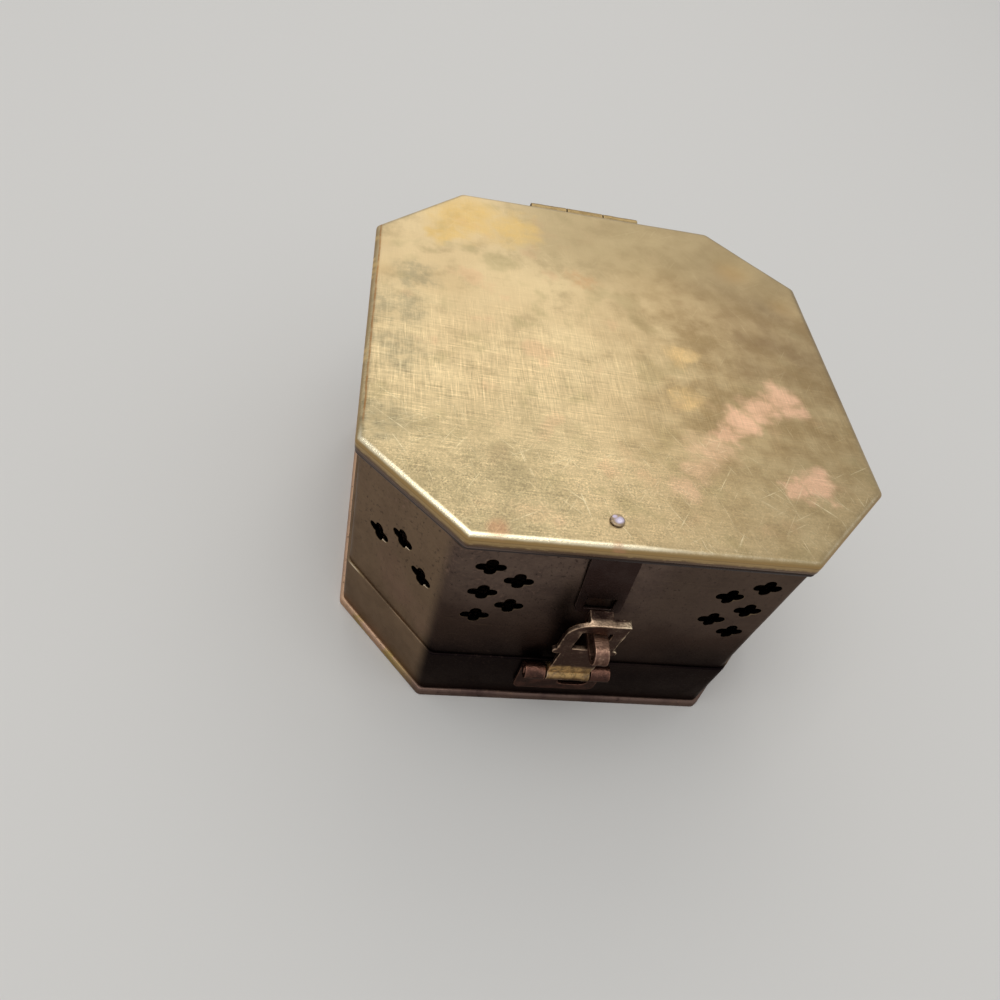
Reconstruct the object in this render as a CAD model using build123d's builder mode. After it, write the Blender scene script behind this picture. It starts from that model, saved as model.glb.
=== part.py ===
from build123d import *
import os
from math import cos, hypot, radians, sin, tan

# Incense box of sheet brass, eight-sided in plan, with a hinged lid and a swinging front latch.
# Millimetres. The origin is the middle of the underside, +Z is up and -Y is the latch side.
# The hook stands as it rests, unfastened and leaning a little outwards, so the lid is free.

# Walls: a rectangle in plan with its corners cut off
body_width = 86.5
body_depth = 85.7
body_corner_x = 15.6
body_corner_y = 18.2
wall_thickness = 1.0
box_height = 53.0

# Base plate, and the second sheet round the foot of the wall
base_thickness = 2.0
base_lip = 1.15
base_rounding = 0.6
band_thickness = 0.5
band_height = 13.8

# Lid: a flat sheet, the band under its edge and the collar inside the wall
lid_overhang_x = 0.75
lid_overhang_y = 0.9
lid_corner_change_x = 1.1
lid_corner_change_y = -2.1
lid_thickness = 1.2
lid_top_rounding = 0.8
lid_under_rounding = 0.25
rim_height = 1.6
rim_rounding = 0.25
skirt_height = 0.8
skirt_inset = 0.1
lid_gap = 0.1
collar_thickness = 0.8
collar_depth = 2.5
collar_clearance = 0.2

# Crosses cut through the walls, drilled in the middle, at their depths below the wall's top edge
cross_width = 4.8
cross_height = 4.2
cross_arm = 1.3
cross_upright = 1.6
cross_drill = 2.5
outer_column_inset = 5.0
column_pitch = 5.0
outer_column_drops = (5.4, 12.6, 19.8)
inner_column_drops = (8.7, 16.1)
corner_cross_spread = 5.5
corner_top_drop = 12.5
corner_low_drop = 16.9

# Rear hinge
hinge_width = 24.0
hinge_sheet = 0.7
hinge_leaf_height = 10.8
hinge_knuckle_radius = 1.6
hinge_rim_clearance = 0.4
hinge_pin_radius = 0.8
hinge_rivet_pitch = 8.0
hinge_rivet_drop = 5.9
strap_reach = 6.5
strap_end_radius = 1.5

# Strap on the lid that the hook holds, leaning to one side as it goes down
tab_width = 8.0
tab_top_x = -4.6
tab_lean = 5.6
tab_sheet = 0.5
tab_gap = 0.1
tab_bend = 0.3
tab_foot_radius = 0.8
tab_foot_margin = 0.8
tab_foot_bar = 1.1
tab_slot_width = 4.8
tab_slot_height = 3.2
tab_rivet_x = -5.0
tab_rivet_inset = 4.95

# Rivets
rivet_radius = 0.7
rivet_head_radius = 1.25
rivet_head_height = 0.4
rivet_fit = 0.02
notch_clearance = 0.25

# Latch bracket and hook
latch_middle = -3.1
latch_base_width = 15.8
latch_base_foot_gap = 4.0
latch_base_corner = 1.5
latch_sheet = 0.8
latch_window_x = 0.0
latch_window_z = 9.3
latch_window_width = 5.6
latch_window_height = 2.5
latch_knuckle_radius = 1.6
hook_band_clearance = 0.3
latch_pin_radius = 0.7
pin_clearance = 0.05
knuckle_gap = 0.15
knuckle_notch_depth = 0.7
hook_lean = 4.5
hook_knuckle_width = 8.0
hook_sheet = 0.9
hook_front_out = 0.8
hook_length = 21.4
hook_left = -8.2
hook_right = 1.7
hook_crown_radius = 4.2
hook_shoulder = 10.8
hook_lobe_radius = 0.95
hook_lip_left = -4.2
hook_lip_depth = 0.7
hook_slot_left = -5.7
hook_slot_side_clearance = 0.45
hook_slot_bottom = 11.9
hook_slot_top_clearance = 0.55
tooth_width = 4.0
tooth_height = 1.6
tooth_wall_clearance = 0.25

# Staple on the front wall, a strip bent into an eye for a peg
staple_x = -2.3
staple_width = 2.5
staple_strip = 0.9
staple_outer_height = 4.0
staple_top_z = 33.3
staple_reach = 8.5
staple_clinch = 0.7
staple_fit = 0.05

# Levels and places worked out from the sizes above
lid_underside = box_height - lid_thickness
rim_bottom = lid_underside - rim_height
skirt_bottom = rim_bottom - skirt_height
wall_top = skirt_bottom - lid_gap
collar_bottom = skirt_bottom - collar_depth
band_top = base_thickness + band_height
front_y = -body_depth / 2
rear_y = body_depth / 2
lid_width = body_width + 2 * lid_overhang_x
lid_depth = body_depth + 2 * lid_overhang_y
inner_margin = -wall_thickness - collar_clearance


def cut_corner_plan(width, depth, corner_x, corner_y, margin):
    """Corners of a rectangle with cut corners, every side moved outwards by the margin."""
    slant = hypot(corner_x, corner_y)
    end_x = width / 2 - corner_x + margin * (slant - corner_x) / corner_y
    end_y = depth / 2 - corner_y + margin * (slant - corner_y) / corner_x
    half_width = width / 2 + margin
    half_depth = depth / 2 + margin
    return [
        (end_x, half_depth),
        (half_width, end_y),
        (half_width, -end_y),
        (end_x, -half_depth),
        (-end_x, -half_depth),
        (-half_width, -end_y),
        (-half_width, end_y),
        (-end_x, half_depth),
    ]


def wall_plan(margin=0.0):
    """Plan of the wall's outside, moved outwards by the margin."""
    return cut_corner_plan(body_width, body_depth, body_corner_x, body_corner_y, margin)


def lid_plan(margin=0.0):
    """Plan of the lid's edge, whose corners were cut by eye and differ from the wall's."""
    corner_x = body_corner_x + lid_corner_change_x
    corner_y = body_corner_y + lid_corner_change_y
    return cut_corner_plan(lid_width, lid_depth, corner_x, corner_y, margin)


def cross_places(face_length):
    """Five crosses at each end of a face: three down the outer column, two down the inner."""
    outer = face_length / 2 - outer_column_inset
    inner = outer - column_pitch
    places = [(side * outer, wall_top - drop) for side in (-1, 1) for drop in outer_column_drops]
    return places + [(side * inner, wall_top - drop) for side in (-1, 1) for drop in inner_column_drops]


# Base plate: a flat sheet that stands out past the walls as a rounded lip
with BuildPart() as base_plate:
    with BuildSketch():
        Polygon(*wall_plan(base_lip), align=None)
    extrude(amount=base_thickness)
    fillet(base_plate.edges().group_by(Axis.Z)[-1], radius=base_rounding)
    fillet(base_plate.edges().group_by(Axis.Z)[0], radius=base_rounding / 2)

# Lower band: the sheet wrapped round the foot of the wall, its top edge showing as a fine line
with BuildPart() as lower_band:
    with BuildSketch(Plane.XY.offset(base_thickness)):
        Polygon(*wall_plan(band_thickness), align=None)
        Polygon(*wall_plan(), align=None, mode=Mode.SUBTRACT)
    extrude(amount=band_height)

# Rear hinge: its axis lies outside the lid's rim, one knuckle radius under the lid sheet
hinge_axis_out = hinge_knuckle_radius + lid_overhang_y + hinge_rim_clearance
hinge_axis_y = rear_y + hinge_axis_out
hinge_axis_z = lid_underside - hinge_knuckle_radius
hinge_knuckle_width = hinge_width / 3
hinge_rivet_z = hinge_axis_z - hinge_knuckle_radius + hinge_sheet - hinge_rivet_drop
hinge_rivet_spots = [(index * hinge_rivet_pitch, hinge_rivet_z) for index in (-1, 0, 1)]
fixed_knuckle_width = hinge_knuckle_width - knuckle_gap
fixed_knuckle_x = hinge_knuckle_width + knuckle_gap / 2
tang_level = hinge_axis_z - hinge_knuckle_radius

# Staple: height of its middle, and the hole in the wall that its two legs fill
staple_z = staple_top_z - staple_outer_height / 2
staple_nose_y = front_y - staple_reach + staple_outer_height / 2
staple_root_y = front_y + wall_thickness + staple_clinch

# Wall: one sheet bent round the eight sides, cut with crosses on every side
with BuildPart() as body_wall:
    with BuildSketch(Plane.XY.offset(base_thickness)):
        Polygon(*wall_plan(), align=None)
        Polygon(*wall_plan(-wall_thickness), align=None, mode=Mode.SUBTRACT)
    extrude(amount=wall_top - base_thickness)
    long_cut = body_width + body_depth
    with BuildSketch(Plane.XZ):
        with Locations(*cross_places(body_width - 2 * body_corner_x)):
            SlotOverall(cross_width, cross_arm)
            SlotOverall(cross_height, cross_upright, rotation=90)
            Circle(cross_drill / 2)
    extrude(amount=long_cut, both=True, mode=Mode.SUBTRACT)
    with BuildSketch(Plane.YZ):
        with Locations(*cross_places(body_depth - 2 * body_corner_y)):
            SlotOverall(cross_width, cross_arm)
            SlotOverall(cross_height, cross_upright, rotation=90)
            Circle(cross_drill / 2)
    extrude(amount=long_cut, both=True, mode=Mode.SUBTRACT)
    corner_mid_x = (body_width - body_corner_x) / 2
    corner_mid_y = (body_depth - body_corner_y) / 2
    for side in (-1, 1):
        corner_facing = Plane(
            origin=(side * corner_mid_x, -corner_mid_y, 0),
            x_dir=(body_corner_x, side * body_corner_y, 0),
            z_dir=(side * body_corner_y, -body_corner_x, 0),
        )
        opposite_facing = Plane(
            origin=(side * corner_mid_x, corner_mid_y, 0),
            x_dir=(-body_corner_x, side * body_corner_y, 0),
            z_dir=(side * body_corner_y, body_corner_x, 0),
        )
        with BuildSketch(corner_facing, opposite_facing):
            with Locations(
                (0, wall_top - corner_top_drop),
                (-corner_cross_spread, wall_top - corner_low_drop),
                (corner_cross_spread, wall_top - corner_low_drop),
            ):
                SlotOverall(cross_width, cross_arm)
                SlotOverall(cross_height, cross_upright, rotation=90)
                Circle(cross_drill / 2)
        extrude(amount=2 * wall_thickness, both=True, mode=Mode.SUBTRACT)
    with BuildSketch(Plane.XZ.offset(-front_y)):
        with Locations((staple_x, staple_z)):
            Rectangle(staple_width + 2 * staple_fit, staple_outer_height + 2 * staple_fit)
    extrude(amount=-2 * wall_thickness, mode=Mode.SUBTRACT)
    with BuildSketch(Plane.XZ.offset(-rear_y)):
        with Locations(*hinge_rivet_spots):
            Circle(rivet_radius + rivet_fit)
    extrude(amount=2 * wall_thickness, mode=Mode.SUBTRACT)

# Lid sheet: flat, with a well rounded top edge
tab_rivet_y = front_y + tab_rivet_inset - lid_overhang_y
with BuildPart() as lid_top:
    with BuildSketch(Plane.XY.offset(lid_underside)):
        Polygon(*lid_plan(), align=None)
    extrude(amount=lid_thickness)
    fillet(lid_top.edges().group_by(Axis.Z)[-1], radius=lid_top_rounding)
    fillet(lid_top.edges().group_by(Axis.Z)[0], radius=lid_under_rounding)
    with BuildSketch(Plane.XY.offset(lid_underside)):
        with Locations((tab_rivet_x, tab_rivet_y)):
            Circle(rivet_radius + rivet_fit)
    extrude(amount=lid_thickness, mode=Mode.SUBTRACT)

# Lid rim: the band under the edge, with a pocket for the strap and a slot for the hinge strap
tab_back_y = front_y - tab_gap
tab_front_y = tab_back_y - tab_sheet
pocket_depth = lid_depth / 8
tab_pocket = (tab_top_x, tab_front_y + pocket_depth / 2)
tab_pocket_width = tab_width + 2 * notch_clearance
hinge_pocket = (0, lid_depth / 2)
hinge_pocket_width = hinge_knuckle_width + 2 * notch_clearance
with BuildPart() as lid_rim:
    with BuildSketch(Plane.XY.offset(rim_bottom)):
        Polygon(*lid_plan(), align=None)
        Polygon(*wall_plan(inner_margin), align=None, mode=Mode.SUBTRACT)
    extrude(amount=rim_height)
    fillet(lid_rim.faces().sort_by(Axis.Z)[0].outer_wire().edges(), radius=rim_rounding)
    with BuildSketch(Plane.XY.offset(lid_underside)):
        with Locations(tab_pocket):
            Rectangle(tab_pocket_width, pocket_depth)
    extrude(amount=-rim_height, mode=Mode.SUBTRACT)
    with BuildSketch(Plane.XY.offset(lid_underside)):
        with Locations(hinge_pocket):
            Rectangle(hinge_pocket_width, 2 * pocket_depth)
    extrude(amount=-hinge_sheet, mode=Mode.SUBTRACT)

# Lid skirt: a thin strip under the rim, set back a little, with the same pocket for the strap
with BuildPart() as lid_skirt:
    with BuildSketch(Plane.XY.offset(skirt_bottom)):
        Polygon(*lid_plan(-skirt_inset), align=None)
        Polygon(*wall_plan(inner_margin), align=None, mode=Mode.SUBTRACT)
        with Locations(tab_pocket):
            Rectangle(tab_pocket_width, pocket_depth, mode=Mode.SUBTRACT)
    extrude(amount=skirt_height)

# Lid collar: the strip inside the wall that centres the lid
with BuildPart() as lid_collar:
    with BuildSketch(Plane.XY.offset(collar_bottom)):
        Polygon(*wall_plan(inner_margin), align=None)
        Polygon(*wall_plan(inner_margin - collar_thickness), align=None, mode=Mode.SUBTRACT)
    extrude(amount=lid_underside - collar_bottom)
    with BuildSketch(Plane.XY.offset(lid_underside)):
        with Locations(tab_pocket):
            Rectangle(tab_pocket_width, pocket_depth)
    extrude(amount=-tab_sheet, mode=Mode.SUBTRACT)
    with BuildSketch(Plane.XY.offset(lid_underside)):
        with Locations(hinge_pocket):
            Rectangle(hinge_pocket_width, 2 * pocket_depth)
    extrude(amount=-hinge_sheet, mode=Mode.SUBTRACT)

# Strap on the lid: soldered and riveted under the sheet, bent down over the front wall
tab_foot = staple_top_z + tab_foot_margin
tab_slope = tan(radians(tab_lean))
tab_foot_x = tab_top_x + (lid_underside - tab_foot) * tab_slope
tab_slot_z = tab_foot + tab_foot_bar + tab_slot_height / 2
tab_slot_x = tab_top_x + (lid_underside - tab_slot_z) * tab_slope
tab_inner_y = tab_rivet_y + strap_reach / 2
with BuildPart() as lid_tab:
    with BuildSketch(Plane.XZ.offset(-tab_back_y)) as tab_face:
        Polygon(
            (tab_top_x - tab_width / 2, lid_underside),
            (tab_top_x + tab_width / 2, lid_underside),
            (tab_foot_x + tab_width / 2, tab_foot),
            (tab_foot_x - tab_width / 2, tab_foot),
            align=None,
        )
        fillet(tab_face.vertices().group_by(Axis.Y)[0], radius=tab_foot_radius)
        with Locations((tab_slot_x, tab_slot_z)):
            Rectangle(tab_slot_width, tab_slot_height, mode=Mode.SUBTRACT)
    extrude(amount=tab_sheet)
    with BuildSketch(Plane.XY.offset(lid_underside)):
        with Locations((tab_top_x, (tab_front_y + tab_inner_y) / 2)):
            Rectangle(tab_width, tab_inner_y - tab_front_y)
    extrude(amount=-tab_sheet)
    fillet(lid_tab.edges().filter_by(Axis.Z).group_by(Axis.Y)[-1], radius=strap_end_radius)
    bend = lid_tab.edges().filter_by(Axis.X).filter_by(
        lambda edge: edge.center().Y < tab_front_y + tab_sheet / 4
    )
    fillet(bend.sort_by(Axis.Z)[-1], radius=tab_bend)
    with BuildSketch(Plane.XY.offset(lid_underside)):
        with Locations((tab_rivet_x, tab_rivet_y)):
            Circle(rivet_radius + rivet_fit)
    extrude(amount=-tab_sheet, mode=Mode.SUBTRACT)

# Rivet through the lid sheet and the strap, a low dome above and a head below
with BuildPart() as tab_rivet:
    with BuildSketch(Plane.XY.offset(lid_underside - tab_sheet)):
        with Locations((tab_rivet_x, tab_rivet_y)):
            Circle(rivet_radius)
    extrude(amount=lid_thickness + tab_sheet)
    with BuildSketch(Plane.XY.offset(box_height)):
        with Locations((tab_rivet_x, tab_rivet_y)):
            Circle(rivet_head_radius)
    extrude(amount=rivet_head_height)
    with BuildSketch(Plane.XY.offset(lid_underside - tab_sheet)):
        with Locations((tab_rivet_x, tab_rivet_y)):
            Circle(rivet_head_radius)
    extrude(amount=-rivet_head_height)
    fillet(tab_rivet.edges().group_by(Axis.Z)[-1], radius=rivet_head_height * 0.8)
    fillet(tab_rivet.edges().group_by(Axis.Z)[0], radius=rivet_head_height * 0.8)

# Lid leaf of the hinge: a strap under the lid sheet whose end is rolled round the pin
with BuildPart() as hinge_leaf_lid:
    leaf_inner_y = rear_y - strap_reach
    with BuildSketch(Plane.XY.offset(lid_underside)):
        with Locations((0, (leaf_inner_y + hinge_axis_y) / 2)):
            Rectangle(hinge_knuckle_width, hinge_axis_y - leaf_inner_y)
    extrude(amount=-hinge_sheet)
    fillet(hinge_leaf_lid.edges().filter_by(Axis.Z).group_by(Axis.Y)[0], radius=strap_end_radius)
    with BuildSketch(Plane.YZ):
        with Locations((hinge_axis_y, hinge_axis_z)):
            Circle(hinge_knuckle_radius)
    extrude(amount=hinge_knuckle_width / 2, both=True)
    with BuildSketch(Plane.YZ):
        with Locations((hinge_axis_y, hinge_axis_z)):
            Circle(hinge_pin_radius + pin_clearance)
    extrude(amount=hinge_width, both=True, mode=Mode.SUBTRACT)

# Wall leaf of the hinge: a plate on the rear wall with a rolled knuckle at each end
with BuildPart() as hinge_leaf_body:
    leaf_top = tang_level + hinge_sheet
    with BuildSketch(Plane.XZ.offset(-rear_y)):
        with Locations((0, leaf_top - hinge_leaf_height / 2)):
            Rectangle(hinge_width, hinge_leaf_height)
        with Locations(*hinge_rivet_spots):
            Circle(rivet_radius + rivet_fit, mode=Mode.SUBTRACT)
    extrude(amount=-hinge_sheet)
    with BuildSketch(Plane.XY.offset(tang_level)):
        with Locations(
            (-fixed_knuckle_x, rear_y + hinge_axis_out / 2),
            (fixed_knuckle_x, rear_y + hinge_axis_out / 2),
        ):
            Rectangle(fixed_knuckle_width, hinge_axis_out)
    extrude(amount=hinge_sheet)
    for side in (-1, 1):
        with BuildSketch(Plane.YZ.offset(side * fixed_knuckle_x)):
            with Locations((hinge_axis_y, hinge_axis_z)):
                Circle(hinge_knuckle_radius)
        extrude(amount=fixed_knuckle_width / 2, both=True)
    with BuildSketch(Plane.YZ):
        with Locations((hinge_axis_y, hinge_axis_z)):
            Circle(hinge_pin_radius + pin_clearance)
    extrude(amount=hinge_width, both=True, mode=Mode.SUBTRACT)

# Hinge pin, through all three knuckles
with BuildPart() as hinge_pin:
    with BuildSketch(Plane.YZ):
        with Locations((hinge_axis_y, hinge_axis_z)):
            Circle(hinge_pin_radius)
    extrude(amount=hinge_width / 2 + knuckle_gap, both=True)
    fillet(hinge_pin.edges().filter_by(GeomType.CIRCLE), radius=hinge_pin_radius / 4)

# Three rivets through the wall leaf and the wall, domed outside and headed inside
with BuildPart() as hinge_rivets:
    with BuildSketch(Plane.XZ.offset(-rear_y + wall_thickness)):
        with Locations(*hinge_rivet_spots):
            Circle(rivet_radius)
    extrude(amount=-wall_thickness - hinge_sheet)
    with BuildSketch(Plane.XZ.offset(-rear_y - hinge_sheet)):
        with Locations(*hinge_rivet_spots):
            Circle(rivet_head_radius)
    extrude(amount=-rivet_head_height)
    with BuildSketch(Plane.XZ.offset(-rear_y + wall_thickness)):
        with Locations(*hinge_rivet_spots):
            Circle(rivet_head_radius)
    extrude(amount=rivet_head_height)
    fillet(hinge_rivets.edges().group_by(Axis.Y)[-1], radius=rivet_head_height * 0.8)
    fillet(hinge_rivets.edges().group_by(Axis.Y)[0], radius=rivet_head_height * 0.8)

# Latch bracket: a plate soldered on the lower band, with a knuckle at each end of its top edge
latch_axis_out = latch_knuckle_radius + band_thickness + hook_band_clearance
latch_axis_y = front_y - latch_axis_out
latch_axis_z = band_top
band_face_y = front_y - band_thickness
latch_foot = base_thickness + latch_base_foot_gap
hook_knuckle_space = hook_knuckle_width + 2 * knuckle_gap
ear_width = (latch_base_width - hook_knuckle_space) / 2
ear_x = (hook_knuckle_space + ear_width) / 2
notch_level = latch_axis_z - latch_knuckle_radius - knuckle_notch_depth
with BuildPart() as latch_base:
    with BuildSketch(Plane.XZ.offset(-band_face_y)) as latch_face:
        with Locations((latch_middle, (latch_foot + latch_axis_z) / 2)):
            Rectangle(latch_base_width, latch_axis_z - latch_foot)
        fillet(latch_face.vertices().group_by(Axis.Y)[0], radius=latch_base_corner)
        with Locations((latch_middle, (notch_level + latch_axis_z) / 2)):
            Rectangle(hook_knuckle_space, latch_axis_z - notch_level, mode=Mode.SUBTRACT)
        with Locations((latch_window_x, latch_window_z)):
            SlotOverall(latch_window_width, latch_window_height, mode=Mode.SUBTRACT)
    extrude(amount=latch_sheet)
    for side in (-1, 1):
        with BuildSketch(Plane.YZ.offset(latch_middle + side * ear_x)):
            with Locations((latch_axis_y, latch_axis_z)):
                Circle(latch_knuckle_radius)
        extrude(amount=ear_width / 2, both=True)
    with BuildSketch(Plane.YZ.offset(latch_middle)):
        with Locations((latch_axis_y, latch_axis_z)):
            Circle(latch_pin_radius + pin_clearance)
    extrude(amount=latch_base_width, both=True, mode=Mode.SUBTRACT)

# Latch pin, through the bracket's knuckles and the hook's
with BuildPart() as latch_pin:
    with BuildSketch(Plane.YZ.offset(latch_middle)):
        with Locations((latch_axis_y, latch_axis_z)):
            Circle(latch_pin_radius)
    extrude(amount=latch_base_width / 2 + knuckle_gap, both=True)
    fillet(latch_pin.edges().filter_by(GeomType.CIRCLE), radius=latch_pin_radius / 4)

# Staple: a strip folded into an eye, its two legs through the wall and clinched inside
with BuildPart() as staple:
    staple_length = staple_root_y - staple_nose_y
    staple_centre_y = (staple_root_y + staple_nose_y) / 2
    eye_height = staple_outer_height - 2 * staple_strip
    with BuildSketch(Plane.YZ.offset(staple_x)):
        with Locations((staple_centre_y, staple_z)):
            Rectangle(staple_length, staple_outer_height)
        with Locations((staple_nose_y, staple_z)):
            Circle(staple_outer_height / 2)
            Circle(eye_height / 2, mode=Mode.SUBTRACT)
        with Locations((staple_centre_y, staple_z)):
            Rectangle(staple_length, eye_height, mode=Mode.SUBTRACT)
    extrude(amount=staple_width / 2, both=True)

# Hook: a plate on its own knuckle, with shoulders, a slot for the staple, and a lip turned inwards
# at the top whose tooth enters the strap's slot. Its plane leans outwards, and lengths on it run
# up from the pin.
lean = radians(hook_lean)
hook_plane = Plane(
    origin=(0, latch_axis_y, latch_axis_z),
    x_dir=(1, 0, 0),
    z_dir=(0, -cos(lean), -sin(lean)),
)
hook_front = hook_plane.offset(hook_front_out)
hook_back = hook_plane.offset(hook_front_out - hook_sheet)
neck_left = latch_middle - hook_knuckle_width / 2
neck_right = latch_middle + hook_knuckle_width / 2
staple_nose = hypot(staple_nose_y - latch_axis_y, staple_z - latch_axis_z)
hook_slot_top = staple_nose + staple_outer_height / 2 + hook_slot_top_clearance
hook_slot_right = staple_x + staple_width / 2 + hook_slot_side_clearance
with BuildPart() as latch_hook:
    with BuildSketch(hook_front) as hook_face:
        Polygon(
            (neck_left, 0),
            (neck_right, 0),
            (neck_right, hook_shoulder),
            (hook_right, hook_shoulder),
            (hook_right, hook_length),
            (hook_left, hook_length),
            (hook_left, hook_shoulder),
            (neck_left, hook_shoulder),
            align=None,
        )
        fillet(hook_face.vertices().group_by(Axis.Y)[-1].sort_by(Axis.X)[0], radius=hook_crown_radius)
        with Locations((hook_left + hook_lobe_radius / 2, hook_shoulder)):
            Circle(hook_lobe_radius)
        with Locations((hook_right, hook_shoulder)):
            Circle(hook_lobe_radius)
        with Locations(
            ((hook_slot_left + hook_slot_right) / 2, (hook_slot_bottom + hook_slot_top) / 2)
        ):
            Rectangle(
                hook_slot_right - hook_slot_left,
                hook_slot_top - hook_slot_bottom,
                mode=Mode.SUBTRACT,
            )
    extrude(amount=-hook_sheet)
    with BuildSketch(Plane.YZ.offset(latch_middle)):
        with Locations((latch_axis_y, latch_axis_z)):
            Circle(latch_knuckle_radius)
    extrude(amount=hook_knuckle_width / 2, both=True)
    with BuildSketch(hook_back):
        with Locations(((hook_lip_left + hook_right) / 2, hook_length - hook_sheet / 2)):
            Rectangle(hook_right - hook_lip_left, hook_sheet)
    extrude(amount=-hook_lip_depth)
    with BuildSketch(hook_back):
        with Locations((tab_slot_x, hook_length - tooth_height / 2)):
            Rectangle(tooth_width, tooth_height)
    extrude(amount=-(latch_axis_out + hook_front_out - hook_sheet - tooth_wall_clearance))
    with BuildSketch(Plane.YZ.offset(latch_middle)):
        with Locations((latch_axis_y, latch_axis_z)):
            Circle(latch_pin_radius + pin_clearance)
    extrude(amount=latch_base_width, both=True, mode=Mode.SUBTRACT)

pieces = {
    "base_plate": base_plate,
    "lower_band": lower_band,
    "body_wall": body_wall,
    "lid_top": lid_top,
    "lid_rim": lid_rim,
    "lid_skirt": lid_skirt,
    "lid_collar": lid_collar,
    "lid_tab": lid_tab,
    "tab_rivet": tab_rivet,
    "hinge_leaf_lid": hinge_leaf_lid,
    "hinge_leaf_body": hinge_leaf_body,
    "hinge_pin": hinge_pin,
    "hinge_rivets": hinge_rivets,
    "latch_base": latch_base,
    "latch_pin": latch_pin,
    "staple": staple,
    "latch_hook": latch_hook,
}

os.makedirs("parts", exist_ok=True)
for name, piece in pieces.items():
    piece.part.label = name
    export_step(piece.part, f"parts/{name}.step")
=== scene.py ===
"""Eight-sided incense box of old sheet brass, with a hinged lid and a swinging front latch.

Sizes here are in millimetres, and a mesh is written in metres. +Z is up and -Y is the latch side. The
sections follow the box as it is put together: base, wall, latch, lid and hinge.
"""
import bmesh
import bpy
import numpy as np
from mathutils import Euler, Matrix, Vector
from mathutils.geometry import delaunay_2d_cdt


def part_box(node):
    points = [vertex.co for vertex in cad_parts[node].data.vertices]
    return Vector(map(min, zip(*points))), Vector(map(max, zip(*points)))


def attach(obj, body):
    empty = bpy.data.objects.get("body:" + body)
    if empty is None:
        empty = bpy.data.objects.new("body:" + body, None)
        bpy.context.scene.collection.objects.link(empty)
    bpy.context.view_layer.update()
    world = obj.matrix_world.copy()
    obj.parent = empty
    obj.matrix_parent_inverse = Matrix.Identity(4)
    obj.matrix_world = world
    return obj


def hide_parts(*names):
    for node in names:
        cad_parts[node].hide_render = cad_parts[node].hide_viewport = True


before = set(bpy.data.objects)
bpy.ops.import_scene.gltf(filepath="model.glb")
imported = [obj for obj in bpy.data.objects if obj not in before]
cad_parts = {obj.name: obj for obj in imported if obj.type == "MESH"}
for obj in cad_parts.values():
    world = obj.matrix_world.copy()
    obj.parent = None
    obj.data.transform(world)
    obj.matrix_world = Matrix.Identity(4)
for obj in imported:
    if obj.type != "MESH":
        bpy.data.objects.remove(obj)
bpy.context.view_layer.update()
MM = 0.001


# Camera: held high in front of the box and a little to its left, as the photograph's was
camera_data = bpy.data.cameras.new("camera")
camera_data.sensor_width = 36.0
camera_data.lens = 27.54
camera_data.clip_start = 0.01
camera = bpy.data.objects.new("camera", camera_data)
camera.location = Vector((-43.0, -104.7, 138.2)) * MM
camera.rotation_euler = Euler(np.radians((38.234, -11.640, -2.379)))
bpy.context.scene.collection.objects.link(camera)
bpy.context.scene.camera = camera
bpy.context.scene.view_settings.view_transform = "Standard"


# Floor: a wide plain table top, pale and matt, that meets a plain pale room. Colours are written as
# sRGB hex, as they are seen on the object
def hue(hex_code):
    """Linear colour of an sRGB hex code."""
    channels = np.array([int(hex_code[k:k + 2], 16) for k in (1, 3, 5)]) / 255
    linear = np.where(channels < 0.04045, channels / 12.92, ((channels + 0.055) / 1.055) ** 2.4)
    return (*linear.tolist(), 1.0)


floor_half = 4000 * MM
floor_corners = floor_half * np.array([(-1, -1, 0), (1, -1, 0), (1, 1, 0), (-1, 1, 0)])
floor_mesh = bpy.data.meshes.new("table_top")
floor_mesh.from_pydata(floor_corners.tolist(), [], [(0, 1, 2, 3)])
floor = bpy.data.objects.new("table_top", floor_mesh)
bpy.context.scene.collection.objects.link(floor)
floor_paint = bpy.data.materials.new("matt_floor_paint")
floor_paint.use_nodes = True
floor_shader = floor_paint.node_tree.nodes["Principled BSDF"]
floor_shader.inputs["Base Color"].default_value = hue("#d9d7d4")
floor_shader.inputs["Roughness"].default_value = 0.85
floor_mesh.materials.append(floor_paint)


# Light: a large soft window behind, which the lid mirrors towards the camera, a soft box overhead
# that draws the bright line along the rounded front edges, and an even pale room
def soft_box(name, place, aim, size, power, tint):
    """A square lamp of a size in millimetres and a power in watts, turned to face a point."""
    lamp_data = bpy.data.lights.new(name, "AREA")
    lamp_data.size = size * MM
    lamp_data.energy = power
    lamp_data.color = hue(tint)[:3]
    lamp = bpy.data.objects.new(name, lamp_data)
    lamp.location = Vector(place) * MM
    lamp.rotation_euler = (Vector(aim) - Vector(place)).to_track_quat("-Z", "Y").to_euler()
    bpy.context.scene.collection.objects.link(lamp)


lid_middle = (0, 0, 40)
soft_box("window", (150, 740, 640), lid_middle, size=760, power=1.25, tint="#fffaf2")
soft_box("overhead", (-110, -110, 830), lid_middle, size=620, power=2.1, tint="#fffdf8")
room = bpy.data.worlds.new("room")
bpy.context.scene.world = room
room.use_nodes = True
room_light = room.node_tree.nodes["Background"]
room_light.inputs["Color"].default_value = hue("#eceef0")
room_light.inputs["Strength"].default_value = 0.66


# Base: a flat sheet of brass with a cut edge that stands out past the wall as a lip. The wall and
# its band are soldered down on it, and its left end is flushed pink with copper
def node_box(node):
    """Lowest and highest corner of a built piece, in millimetres."""
    low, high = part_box(node)
    return np.array(low) / MM, np.array(high) / MM


def mesh_points(mesh, key="co"):
    """The places of a mesh's points, in metres, or their normals, as an array of rows."""
    values = np.zeros(len(mesh.vertices) * 3)
    mesh.vertices.foreach_get(key, values)
    return values.reshape(-1, 3)


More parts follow.
